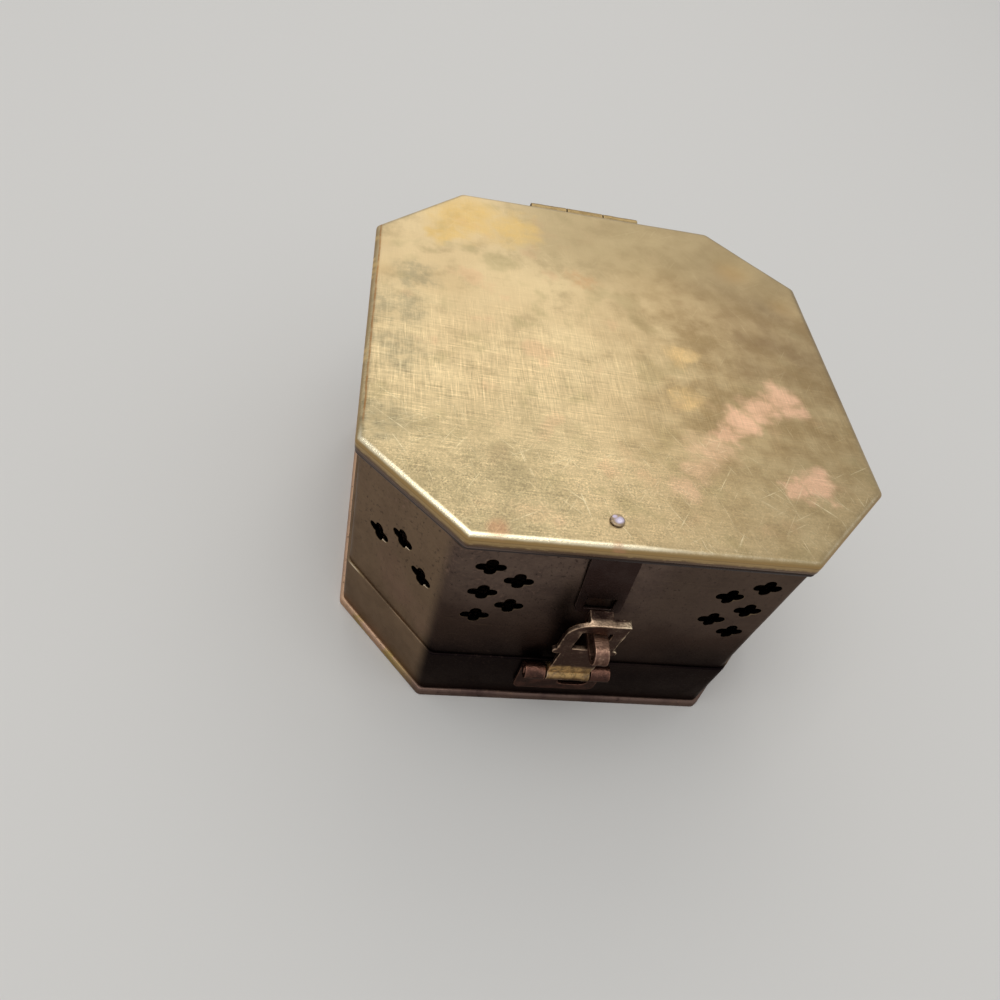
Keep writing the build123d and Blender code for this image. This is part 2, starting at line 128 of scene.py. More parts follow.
def node_plan(node):
    """Half width, half depth, and where the front and side edges end, of an eight-sided piece."""
    points = mesh_points(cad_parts[node].data)[:, :2] / MM
    half_x, half_y = points.max(axis=0)
    end_x = points[points[:, 1] > half_y - 0.01, 0].max()
    end_y = points[points[:, 0] > half_x - 0.01, 1].max()
    return half_x, half_y, end_x, end_y


bend_points = 7


def outline(plan, margin, soft=0.6, per_side=64):
    """The plan moved outwards by a margin and walked round, its corners softened by short curves.

    Each side moves straight out, and a corner is the parabola (1-t)^2 start + 2t(1-t) corner + t^2 end,
    whose start and end lie the soft distance before and after it.
    """
    half_x, half_y, end_x, end_y = plan
    cut_x, cut_y = half_x - end_x, half_y - end_y
    slant = np.hypot(cut_x, cut_y)
    x = end_x + margin * (slant - cut_x) / cut_y
    y = end_y + margin * (slant - cut_y) / cut_x
    wide, deep = half_x + margin, half_y + margin
    corners = np.array([
        (x, deep), (-x, deep), (-wide, y), (-wide, -y), (-x, -deep), (x, -deep), (wide, -y), (wide, y)
    ])
    ahead = np.roll(corners, -1, axis=0) - corners
    ahead /= np.linalg.norm(ahead, axis=1, keepdims=True)
    start = corners - soft * np.roll(ahead, 1, axis=0)
    end = corners + soft * ahead
    t = np.linspace(0, 1, bend_points)[None, :, None]
    bends = (1 - t) ** 2 * start[:, None] + 2 * t * (1 - t) * corners[:, None] + t ** 2 * end[:, None]
    f = np.linspace(0, 1, per_side + 2)[None, 1:-1, None]
    sides = end[:, None] * (1 - f) + np.roll(start, -1, axis=0)[:, None] * f
    return np.concatenate([bends, sides], axis=1).reshape(-1, 2)


def grid_faces(rows, columns, closed_rows):
    """Four-sided faces of a grid whose columns go round, and whose rows may close as well."""
    row, column = np.meshgrid(
        np.arange(rows if closed_rows else rows - 1), np.arange(columns), indexing="ij",
    )
    below, right = (row + 1) % rows, (column + 1) % columns
    corners = [
        row * columns + column, row * columns + right,
        below * columns + right, below * columns + column,
    ]
    return np.stack(corners, axis=-1).reshape(-1, 4).tolist()


def sheet_piece(plan, low, high, top_round, low_round, soft, drop):
    """A closed sheet: rings from the middle out over the top, round the edge and back below.

    Its top edge is a quarter of an ellipse, as far in and down as the two numbers of top_round, and
    its lower edge a quarter of a circle. The drop at (x, y) sinks the top and fades out at the bottom.
    """
    hub = 0.006
    turn = np.linspace(0, np.pi / 2, 13)
    scales = np.linspace(hub, 1, 64)
    inner = outline(plan, -top_round[0], soft)
    rows = [np.column_stack([inner * s, np.full(len(inner), high)]) for s in scales]
    upper = [
        (top_round[0] * (np.sin(angle) - 1), high - top_round[1] * (1 - np.cos(angle)))
        for angle in turn[1:]
    ]
    lower = [
        (low_round * (np.cos(angle) - 1), low + low_round * (1 - np.sin(angle))) for angle in turn
    ]
    for margin, height in upper + lower:
        edge = outline(plan, margin, soft)
        rows.append(np.column_stack([edge, np.full(len(edge), height)]))
    under = outline(plan, -low_round, soft)
    rows += [np.column_stack([under * s, np.full(len(under), low)]) for s in (0.9, 0.5, hub)]
    points = np.stack(rows)
    lift = np.clip((points[..., 2] - low) / (high - low), 0, 1)
    points[..., 2] -= drop(points[..., 0], points[..., 1]) * lift
    count = points.shape[1]
    first_ring = np.arange(count)
    last_ring = first_ring + (len(rows) - 1) * count
    faces = grid_faces(len(rows), count, False) + [first_ring[::-1].tolist(), last_ring.tolist()]
    return points, faces


def depth_in(plan, x, y):
    """How far a point lies inside the eight-sided plan, at the nearest side."""
    half_x, half_y, end_x, end_y = plan
    cut_x, cut_y = half_x - end_x, half_y - end_y
    slant = ((np.abs(x) - end_x) * cut_y + (np.abs(y) - half_y) * cut_x) / np.hypot(cut_x, cut_y)
    return -np.maximum(np.maximum(np.abs(x) - half_x, np.abs(y) - half_y), slant)


def new_piece(name, points, faces, marks=None):
    """A smooth-shaded mesh object from points in millimetres, with named values on its points."""
    mesh = bpy.data.meshes.new(name)
    mesh.from_pydata((points * MM).tolist(), [], faces)
    mesh.validate()
    for key, values in (marks or {}).items():
        layer = mesh.attributes.new(key, "FLOAT", "POINT")
        layer.data.foreach_set("value", np.asarray(values, dtype=np.float32).ravel())
    mesh.shade_smooth()
    piece = bpy.data.objects.new(name, mesh)
    bpy.context.scene.collection.objects.link(piece)
    return piece


base_low, base_high = node_box("base_plate")
base_plan = node_plan("base_plate")
base_rounding = (0.6, 0.6)
base_lip = 1.2
base_points, base_faces = sheet_piece(
    base_plan, base_low[2], base_high[2], base_rounding, low_round=0.3, soft=0.7,
    drop=lambda x, y: 0 * x,
)
base_points = base_points.reshape(-1, 3)
base_inset = depth_in(base_plan, base_points[:, 0], base_points[:, 1])
lip_share = 1 - np.clip((base_inset - base_lip) / base_lip, 0, 1)
lip_share *= base_points[:, 2] > base_low[2] + 0.1
base = new_piece("base_sheet", base_points, base_faces, {"wear_and_light": lip_share})


def add(tree, kind, inputs=None, out=0, **settings):
    """Adds one node, sets or links its inputs by name or number, and gives back one of its outputs."""
    node = tree.nodes.new("ShaderNode" + kind)
    for name, value in settings.items():
        setattr(node, name, value)
    for name, value in (inputs or {}).items():
        if isinstance(value, bpy.types.NodeSocket):
            tree.links.new(value, node.inputs[name])
        else:
            node.inputs[name].default_value = hue(value) if isinstance(value, str) else value
    return node.outputs[out]


def start_finish(name):
    """A new node material, with the sockets for the place in millimetres and its three parts."""
    material = bpy.data.materials.new(name)
    material.use_nodes = True
    tree = material.node_tree
    place = add(tree, "VectorMath", {0: add(tree, "TexCoord", out=3), 3: 1 / MM}, operation="SCALE")
    return material, tree, place, add(tree, "SeparateXYZ", {0: place}).node.outputs


def end_finish(tree, colour, gloss, height, depth, glance="#ffffff"):
    """Links the colour, the roughness and a bump of a depth in millimetres to the shader.

    The glance is how bright a slanting view of it is: tarnish dulls the sheen that clean metal has.
    """
    shader = tree.nodes["Principled BSDF"]
    bump = add(tree, "Bump", {"Strength": 1.0, "Distance": depth * MM, "Height": height})
    tree.links.new(colour, shader.inputs["Base Color"])
    tree.links.new(gloss, shader.inputs["Roughness"])
    tree.links.new(bump, shader.inputs["Normal"])
    shader.inputs["Metallic"].default_value = 1.0
    shader.inputs["Specular Tint"].default_value = hue(glance)


def share(tree, *terms):
    """Shares multiplied together, each a socket or a value that eases between two of its levels.

    Such a term is (value, low, high), for a share of 0 at low and 1 at high. With the share at high,
    and then the one at low, written after them, these take the place of 1 and 0.
    """
    total = None
    for term in terms:
        if isinstance(term, tuple):
            value, low, high, most, least = term + (1.0, 0.0)[len(term) - 3:]
            levels = {0: value, 1: low, 2: high, 3: least, 4: most}
            term = add(tree, "MapRange", levels, interpolation_type="SMOOTHSTEP")
        total = term if total is None else add(tree, "Math", {0: total, 1: term}, operation="MULTIPLY")
    return total


def layered(tree, colour, *layers):
    """A colour with others laid over it in turn, each the terms of its share and then its hex."""
    for *terms, tone in layers:
        colour = add(tree, "Mix", {0: share(tree, *terms), 6: colour, 7: tone}, out=2, data_type="RGBA")
    return colour


def finish_piece(piece, material, slot, body, *nodes):
    """Gives a piece its material and its body, and hides the built pieces it stands for. The slot is not
    used.
    """
    piece.data.materials.clear()
    piece.data.materials.append(material)
    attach(piece, body)
    if nodes:
        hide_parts(*nodes)


# Copper-flushed brass: pink and brown at the left, where it is handled, and dark along the front, in
# soft clouds, some about six millimetres across and some under two
base_brass, tree, place, (x, _, _) = start_finish("copper_flushed_brass")
mottle = add(tree, "TexNoise", {"Vector": place, "Scale": 1 / 6.0, "Detail": 5.0, "Roughness": 0.65})
patch = add(tree, "TexNoise", {"Vector": place, "Scale": 1 / 1.6, "Detail": 4.0, "Roughness": 0.7})
lip = add(tree, "Attribute", out=2, attribute_name="wear_and_light")
colour = layered(
    tree,
    "#6f5a51",
    ((mottle, 0.4, 0.65, 0.9), "#55433f"),
    (lip, (x, -27.0, -37.0), (mottle, 0.25, 0.6, 1.0, 0.6), "#d0aa8e"),
    (lip, (x, -28.0, -34.0), (x, -45.0, -40.0), (mottle, 0.42, 0.55, 0.9), "#a8905a"),
    ((patch, 0.58, 0.7, 0.35), "#8f7259"),
    ((patch, 0.42, 0.3, 0.6), "#2c2222"),
)
gloss = share(tree, (mottle, 0.3, 0.7, 0.5, 0.36))
height = add(tree, "Math", {0: patch, 1: mottle}, operation="ADD")
end_finish(tree, colour, gloss, height, depth=0.02, glance="#d6d0cc")
finish_piece(base, base_brass, "brass_base", "box", "base_plate")


# Wall: one sheet bent round the eight sides and soldered on the base. Its crosses were drilled and
# then filed by hand, so no two are quite alike, and the sheet has soft dents
wall_low, wall_high = node_box("body_wall")
wall_plan = node_plan("body_wall")
wall_sheet = 1.0
# A cross is two slots over a drilled hole, each a length, a width and a turn
cross_slots = ((4.8, 1.8, 0.0), (4.2, 1.9, np.pi / 2))
cross_drill = 2.5
cross_filing = 0.05
cross_points = 60
side_points = 96
# Five crosses stand at each end of a main side, as (from the side's end, below the wall's top), and
# three on a corner face, as (from its middle, below the top)
main_spots = ((5.0, 5.4), (5.0, 12.6), (5.0, 19.8), (10.0, 8.7), (10.0, 16.1))
corner_spots = ((0.0, 12.5), (-5.5, 16.9), (5.5, 16.9))
# The dents start above the band, are full some way up, and are never deeper than this
dent_foot = 15.0
dent_fade = 9.0
dent_most = 0.4


def ripple(points, size, seed):
    """Smooth bumps from about -1 to 1: a sum of waves in chance directions, about one size long."""
    waves = 14
    dice = np.random.default_rng(seed)
    total = np.zeros(points.shape[:-1])
    for _ in range(waves):
        way = dice.normal(size=points.shape[-1])
        way /= np.linalg.norm(way) * size * dice.uniform(0.7, 1.7)
        total += np.cos(2 * np.pi * (points @ way + dice.uniform()))
    return total / 5


def cross_reach(angle, number):
    """Distance from a cross's middle to its edge: the furthest of the hole and two round-ended slots.

    A slot's side lies arm / 2 / sin away, and its round end where the circle on its end is met.
    """
    reach = np.full_like(angle, cross_drill / 2)
    for size, arm, turned in cross_slots:
        along, across = np.abs(np.cos(angle - turned)), np.abs(np.sin(angle - turned)) + 1e-9
        run = size / 2 - arm / 2
        side = arm / 2 / across
        tip = run * along + np.sqrt(np.clip((arm / 2) ** 2 - (run * across) ** 2, 0, None))
        reach = np.maximum(reach, np.where(side * along <= run, side, tip))
    wave = ripple(np.column_stack([np.cos(angle), np.sin(angle)]), 2.2, 100 + number)
    return reach + cross_filing * wave


def wall_places():
    """Middle of every cross, as distance along the outside from the back's middle, and height.

    The outside's whole length and the distance at which each side ends come with them.
    """
    half_x, half_y, end_x, end_y = wall_plan
    slant = np.hypot(half_x - end_x, half_y - end_y)
    lengths = [2 * end_x, slant, 2 * end_y, slant, 2 * end_x, slant, 2 * end_y, slant]
    middles = np.cumsum(lengths) - np.array(lengths) / 2 - end_x
    places = []
    for side, (middle, length) in enumerate(zip(middles, lengths)):
        if side % 2:
            places += [(middle + offset, wall_high[2] - drop) for offset, drop in corner_spots]
        else:
            places += [
                (middle + hand * (length / 2 - inset), wall_high[2] - drop)
                for hand in (-1, 1) for inset, drop in main_spots
            ]
    places = np.array(places)
    places[:, 0] %= np.sum(lengths)
    return places, np.sum(lengths), middles + np.array(lengths) / 2


def wall_skin(distance, height, margin):
    """Points on the bent sheet, at a distance along it, a height, and a margin from its outside.

    Each lies on the line from the outer outline to the inner one, and soft dents push it inwards.
    """
    outer = outline(wall_plan, 0.0, 0.9, side_points)
    inner = outline(wall_plan, -wall_sheet, 0.5, side_points)
    back_middle = bend_points + side_points // 2
    outer, inner = np.roll(outer, -back_middle, axis=0), np.roll(inner, -back_middle, axis=0)
    outer, inner = np.vstack([outer, outer[:1]]), np.vstack([inner, inner[:1]])
    run = np.concatenate([[0], np.cumsum(np.linalg.norm(np.diff(outer, axis=0), axis=1))])
    at = distance / wall_length * run[-1]
    skin = np.stack([np.interp(at, run, outer[:, k]) for k in (0, 1)], axis=-1)
    back = np.stack([np.interp(at, run, inner[:, k]) for k in (0, 1)], axis=-1)
    spot = np.column_stack([skin, height])
    above_band = np.clip((height - dent_foot) / dent_fade, 0, 1)
    dent = (0.10 + 0.09 * ripple(spot, 22.0, 31) + 0.02 * ripple(spot, 7.0, 32)) * above_band
    level = (margin + np.clip(dent, 0, dent_most)) / wall_sheet
    return np.column_stack([skin + (back - skin) * level[:, None], height])


cross_spots, wall_length, bend_runs = wall_places()
turn_round = np.linspace(0, 2 * np.pi, cross_points, endpoint=False)
reaches = np.array([cross_reach(turn_round, number) for number in range(len(cross_spots))])
# The file rounds each cross's edge this far, inside a ring of fine faces this wide
filed_edge = 0.18
ring_edge = 0.32


def cross_loops(grow):
    """Outlines of all the crosses, grown by a margin."""
    radius = reaches + grow
    return np.stack([cross_spots[:, 0:1] + radius * np.cos(turn_round),
                     cross_spots[:, 1:2] + radius * np.sin(turn_round)], axis=-1)


def inside_cross(points, grow):
    """Which points of the flat sheet lie inside some cross, grown by a margin."""
    inside = np.zeros(len(points), bool)
    for spot, radius in zip(cross_spots, reaches):
        away = points - spot
        near = np.interp(np.arctan2(away[:, 1], away[:, 0]), turn_round, radius, period=2 * np.pi)
        inside |= np.hypot(away[:, 0], away[:, 1]) < near + grow
    return inside


# The sheet is cut flat, as triangles between the crosses' rings and a lattice that is closest at the
# bends, and then both its faces are bent round the box
even_columns = np.linspace(0, wall_length, 200)
bend_columns = (bend_runs[:-1, None] + np.linspace(-1.0, 1.0, 9)).ravel()
columns = np.unique(np.round(np.concatenate([even_columns, bend_columns]), 3))
columns = columns[(columns >= 0) & (columns <= wall_length)]
levels = np.linspace(wall_low[2], wall_high[2], 30)
lattice = np.stack(np.meshgrid(columns, levels, indexing="ij"), axis=-1).reshape(-1, 2)
lattice = lattice[~inside_cross(lattice, ring_edge + 0.25)]
loops = cross_loops(ring_edge).reshape(-1, 2)
flat_points = np.vstack([loops, lattice])
order = np.arange(len(loops)).reshape(-1, cross_points)
rings = np.stack([order, np.roll(order, -1, axis=1)], axis=-1).reshape(-1, 2)
cut = delaunay_2d_cdt(flat_points.tolist(), rings.tolist(), [], 0, 1e-6)
flat = np.array(cut[0])
triangles = np.array(cut[2])
first, second, third = flat[triangles].transpose(1, 0, 2)
flipped = np.cross(second - first, third - first) < 0
triangles[flipped] = triangles[flipped][:, ::-1]
triangles = triangles[~inside_cross(flat[triangles].mean(axis=1), ring_edge)]

wall_points = [wall_skin(flat[:, 0], flat[:, 1], depth) for depth in (0.0, wall_sheet)]
wall_faces = triangles[:, ::-1].tolist() + (triangles + len(flat)).tolist()
wall_wear_and_light = [np.zeros(2 * len(flat))]
# Rings that carry each cross through the sheet, as (how far grown, how deep, wear and shade): above 0 is
# rubbed bright, and below 0 is painted shade on the cut faces in the hole. A painted glint lies on the
# edge at the lower right, most on the corner faces
cross_rings = (
    (ring_edge, 0.0, 0.0),
    (filed_edge, 0.0, 0.1),
    (0.035, 0.035, 0.35),
    (0.0, filed_edge, -1.0),
    (0.0, wall_sheet - 0.1, -1.0),
    (ring_edge, wall_sheet, 0.0),
)
# Painted glint: the lower right of each cross's edge is made bright, as light catching it
painted_glint = np.exp(-((np.degrees(turn_round) - 322) / 22) ** 2)
on_main_side = np.arange(len(cross_spots)) % 13 < 10
glint_share = np.where(on_main_side, 0.25, 1.3)
for grow, depth, ring_wear_and_shade in cross_rings:
    loop = cross_loops(grow).reshape(-1, 2)
    wall_points.append(wall_skin(loop[:, 0], loop[:, 1], depth))
    bright = np.outer(glint_share, painted_glint) * (depth < 0.1) * (grow < ring_edge)
    wall_wear_and_light.append((ring_wear_and_shade * (1 - bright.clip(0, 1)) + bright).ravel())
for number in range(len(cross_rings) - 1):
    first = 2 * len(flat) + number * len(loops)
    wall_faces += np.column_stack([first + rings, first + len(loops) + rings[:, ::-1]]).tolist()
# The sheet's cut edges at the foot and at the top
for level in (wall_low[2], wall_high[2]):
    edge = np.where(np.abs(flat[:, 1] - level) < 1e-6)[0]
    edge = edge[np.argsort(flat[edge, 0])]
    strip = np.column_stack([edge[:-1], edge[1:], edge[1:] + len(flat), edge[:-1] + len(flat)])
    wall_faces += (strip if level == wall_high[2] else strip[:, ::-1]).tolist()
wall_runs = np.concatenate([flat[:, 0]] * 2 + [cross_loops(0)[..., 0].ravel()] * len(cross_rings))
wall_marks = {"wear_and_light": np.concatenate(wall_wear_and_light), "run": wall_runs}
wall = new_piece("bent_wall", np.vstack(wall_points), wall_faces, wall_marks)


def join_up(piece, gap=0.002, sharp=35.0):
    """Merges points that lie together, turns every face outwards and keeps sharp edges sharp."""
    shape = bmesh.new()
    shape.from_mesh(piece.data)
    bmesh.ops.remove_doubles(shape, verts=shape.verts, dist=gap * MM)
    bmesh.ops.recalc_face_normals(shape, faces=shape.faces)
    shape.to_mesh(piece.data)
    shape.free()
    piece.data.shade_smooth()
    piece.data.set_sharp_from_angle(angle=np.radians(sharp))


join_up(wall)


def scratches(tree, place, turn, length, width, low, high, shift=0.0):
    """Fine straight lines at a turn in degrees: clouds stretched along them and cut off at a level.

    The length and width of a line are in millimetres, and the shift moves to another part of them.
    """
    turned = add(
        tree, "Mapping",
        {"Vector": place, "Rotation": (0, 0, np.radians(turn)), "Location": (shift, shift, 0)},
    )
    scale = (1 / length, 1 / width, 1 / width)
    turned = add(tree, "VectorMath", {0: turned, 1: scale}, operation="MULTIPLY")
    lines = add(tree, "TexNoise", {"Vector": turned, "Scale": 1.0, "Detail": 2.0, "Roughness": 0.5})
    return add(tree, "MapRange", {0: lines, 1: low, 2: high})


# Tarnished brass: purplish brown, darker towards the foot as painted shade, and lighter and olive on the
# side and corner faces as painted light. Small pits and pinkish specks lie near the crosses, and faint
# lines run along it, drawn 0.35 mm wide to show. The tones follow the height, which clouds first move up
# and down
wall_brass, tree, place, (x, _, z) = start_finish("brown_tarnished_brass")
clouds = add(tree, "TexNoise", {"Vector": place, "Scale": 1 / 17.0, "Detail": 4.0, "Roughness": 0.55})
mottle = add(tree, "TexNoise", {"Vector": place, "Scale": 1 / 5.0, "Detail": 5.0, "Roughness": 0.65})
speck = add(tree, "TexNoise", {"Vector": place, "Scale": 1 / 0.7, "Detail": 3.0, "Roughness": 0.7})
rise = add(tree, "Math", {0: clouds, 1: 0.5}, operation="SUBTRACT")
rise = add(tree, "Math", {0: rise, 1: 18.0, 2: z}, operation="MULTIPLY_ADD")
side = add(tree, "Math", {0: x}, operation="ABSOLUTE")
side = share(tree, (side, wall_plan[2] + 0.2, wall_plan[2] + 2.2))
run = add(tree, "CombineXYZ", {0: add(tree, "Attribute", out=2, attribute_name="run"), 2: z})
lines = scratches(tree, run, 0, 9.0, 0.35, 0.35, 0.7)
streak = scratches(tree, run, 0, 14.0, 0.4, 0.64, 0.8, 11.0)
colour = layered(
    tree,
    "#6b5a50",
    ((mottle, 0.35, 0.65, 0.8), "#584943"),
    # Painted shade: darker towards the foot
    ((rise, 44.0, 24.0), "#3b2d27"),
    ((rise, 28.0, 14.0), "#161011"),
    ((x, 2.0, 9.0, 0.75), (rise, 26.0, 40.0), "#51433a"),
    # Painted light: lighter, olive side and corner faces
    (side, (mottle, 0.3, 0.7, 0.8, 1.0), "#7e6954"),
    (side, (clouds, 0.5, 0.7, 0.5), "#866a5b"),
    (
        (speck, 0.54, 0.68, 0.75),
        (mottle, 0.4, 0.62, 1.0, 0.15),
        (rise, 30.0, 42.0, 1.0, 0.1),
        (x, -6.0, -18.0, 1.0, 0.2),
        "#8c7262",
    ),
    ((speck, 0.42, 0.32, 0.7), (z, 16.0, 36.0, 1.0, 0.3), "#2a211f"),
    (streak, (mottle, 0.45, 0.65, 0.3), (z, 15.0, 30.0, 1.0, 0.2), "#8a7458"),
    # Painted shadow of the lid's edge: a dark band along the top of the wall
    ((z, wall_high[2] - 1.2, wall_high[2] - 0.5, 0.85), "#241a13"),
)
wear_and_light = add(tree, "Attribute", out=2, attribute_name="wear_and_light")
rubbed_and_lit = add(tree, "Math", {0: mottle, 1: 1.2, 2: wear_and_light}, operation="MULTIPLY_ADD")
# Rubbed bright edges, plus painted glints and highlights, where the mark is above 0, and painted shade
# where it is below 0
colour = layered(
    tree,
    colour,
    ((rubbed_and_lit, 0.75, 1.4), (wear_and_light, 0.05, 0.3), "#8f7a5c"),
    ((wear_and_light, 0.7, 1.1), "#f0dcc0"),
    ((wear_and_light, -0.1, -0.9), "#0d0a09"),
)
gloss = share(tree, (mottle, 0.3, 0.7, 0.48, 0.34))
pits = share(tree, (speck, 0.42, 0.3))
height = add(tree, "Math", {0: pits, 1: -1.2, 2: mottle}, operation="MULTIPLY_ADD")
height = add(tree, "Math", {0: lines, 1: 0.25, 2: height}, operation="MULTIPLY_ADD")
end_finish(tree, colour, gloss, height, depth=0.025, glance="#d2ccc8")
finish_piece(wall, wall_brass, "brass_wall", "box", "body_wall")


# Lower band: a second strip of the same sheet wrapped round the foot of the wall and soldered to
# it, its top edge showing as a fine line of painted light and shade, rubbed bright with a painted
# highlight at the front left corner
band_low, band_high = node_box("lower_band")
band_plan = node_plan("lower_band")
band_thickness = 0.75
band_corner = (-43.0, -27.0)


def hoop_piece(name, profile, soft=0.5, sway=None, wear_and_light=None):
    """A hoop: a profile of (plan, margin, height) points carried round the eight sides.

    Sway moves its points, and its values are the distance along it, run, and wear_and_light: each
    point's wear and the light or shade painted on it.
    """
    rows = []
    for plan, margin, height in profile:
        ring = outline(plan, margin, soft)
        rows.append(np.column_stack([ring, np.full(len(ring), height)]))
    points = np.stack(rows)
    if sway:
        points = sway(points)
    count = points.shape[1]
    run = np.concatenate([[0], np.cumsum(np.linalg.norm(np.diff(points[0], axis=0), axis=1))])
    wear_and_light = np.zeros(points.shape[:2]) if wear_and_light is None else wear_and_light(points)
    marks = {"run": np.tile(run, len(rows)), "wear_and_light": wear_and_light}
    return new_piece(name, points.reshape(-1, 3), grid_faces(len(rows), count, True), marks)


def rounded_edge(plan, margin, low, high, low_round, high_round, steps=5):
    """Profile points of a strip's outer face, from below to above, each edge a quarter of a circle."""
    turn = np.linspace(0, np.pi / 2, steps)
    near, far = 1 - np.sin(turn), 1 - np.cos(turn)
    lower = [(plan, margin - low_round * a, low + low_round * b) for a, b in zip(near, far)]
    upper = [(plan, margin - high_round * b, high - high_round * a) for a, b in zip(near, far)]
    return lower + upper


def sway_band(points):
    """Points pushed in by soft waves, as the band follows the wall's dents a little."""
    middle = points.mean(axis=(0, 1))
    outward = points - middle
    outward[..., 2] = 0
    outward /= np.linalg.norm(outward, axis=-1, keepdims=True)
    return points - outward * (0.05 + 0.04 * ripple(points, 18.0, 41))[..., None].clip(0)


def band_edge_wear_and_light(points):
    """How bright each point is: a soft line just under the top edge, exp(-(distance/0.14)^2).

    It is a faint painted highlight along the front, painted shade on the corner faces, and both wear and
    a painted highlight round the band's corner.
    """
    level = np.exp(-((points[..., 2] - band_high[2] + 0.12) / 0.14) ** 2)
    front = np.clip((band_plan[2] + 1 - np.abs(points[..., 0])) / 2, 0, 1)
    away = (points[..., 0] - band_corner[0]) ** 2 + (points[..., 1] - band_corner[1]) ** 2
    rubbed_and_lit = np.exp(-away / 16)
    # Painted light and shade along the top edge, with wear at the corner
    return level * (0.35 * front - 0.3 + (1.5 - 0.35 * front) * rubbed_and_lit)


band = hoop_piece(
    "lower_band_strip",
    rounded_edge(band_plan, 0.0, band_low[2], band_high[2], low_round=0.05, high_round=0.3)
    + [(band_plan, -band_thickness, band_high[2] - 0.05), (band_plan, -band_thickness, band_low[2])],
    soft=0.8, sway=sway_band, wear_and_light=band_edge_wear_and_light,
)
join_up(band)
finish_piece(band, wall_brass, "brass_wall", "box", "lower_band")


# Latch: a bracket soldered at the foot of the front, a pin, a hook plate that swings on it, and a
# bent strip on the wall, the eye, that passes through the hook's slot. All were cut, bent and filed
# by hand from brass, so their edges are soft and their faces a little uneven
def filed_copy(node, name, grain, soft_steps, uneven, seed, lean=99.0):
    """A copy of a built piece, drawn again in fine even faces, softened at its edges and made uneven.

    Each softening step moves a point halfway to its neighbours' mean and most of the way back, and
    soft waves then push it in. The value called wear_and_light is how far a point stands out from the
    shape blurred further, for wear on edges, plus how far it faces up where it lies in front of y =
    lean, as all does at 99, for painted light on upper faces.
    """
    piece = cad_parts[node].copy()
    piece.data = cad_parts[node].data.copy()
    piece.name = name
    piece.parent = None
    bpy.context.scene.collection.objects.link(piece)
    join_up(piece)
    remesh = piece.modifiers.new("even_faces", "REMESH")
    remesh.mode = "VOXEL"
    remesh.voxel_size = grain * MM
    evaluated = piece.evaluated_get(bpy.context.evaluated_depsgraph_get())
    shape = bpy.data.meshes.new_from_object(evaluated)
    bpy.data.objects.remove(piece)
    points = mesh_points(shape) / MM
    edges = np.zeros(len(shape.edges) * 2, dtype=int)
    shape.edges.foreach_get("vertices", edges)
    edges = edges.reshape(-1, 2)
    corners = np.zeros(len(shape.loops), dtype=int)
    shape.loops.foreach_get("vertex_index", corners)
    faces = corners.reshape(-1, 4).tolist()
    count = np.bincount(edges.ravel(), minlength=len(points))[:, None]

    def neighbours(values):
        """Mean of each point's neighbours along the edges."""
        total = np.zeros_like(values)
        np.add.at(total, edges[:, 0], values[edges[:, 1]])
        np.add.at(total, edges[:, 1], values[edges[:, 0]])
        return total / count

    blur_steps = 16
    bright_edge = 0.12
    for _ in range(soft_steps):
        points += 0.5 * (neighbours(points) - points)
        points -= 0.42 * (neighbours(points) - points)
    blurred = points.copy()
    for _ in range(blur_steps):
        blurred += 0.6 * (neighbours(blurred) - blurred)
    shape.vertices.foreach_set("co", (points * MM).ravel())
    shape.update()
    normals = mesh_points(shape, "normal")
    edge = np.clip(np.sum((points - blurred) * normals, axis=1) / bright_edge, 0, 1)
    front = np.clip((lean - points[:, 1]) / 0.8, 0, 1)
    # Wear on standing-out edges, plus painted light on upper faces
    wear_and_light = np.clip(edge + (0.9 * front - 0.1) * np.clip(normals[:, 2], 0, 1) ** 2, 0, 1.2)
    points += normals * (uneven * ripple(points, 3.0, seed) - uneven)[:, None]
    return new_piece(name, points, faces, {"wear_and_light": wear_and_light})


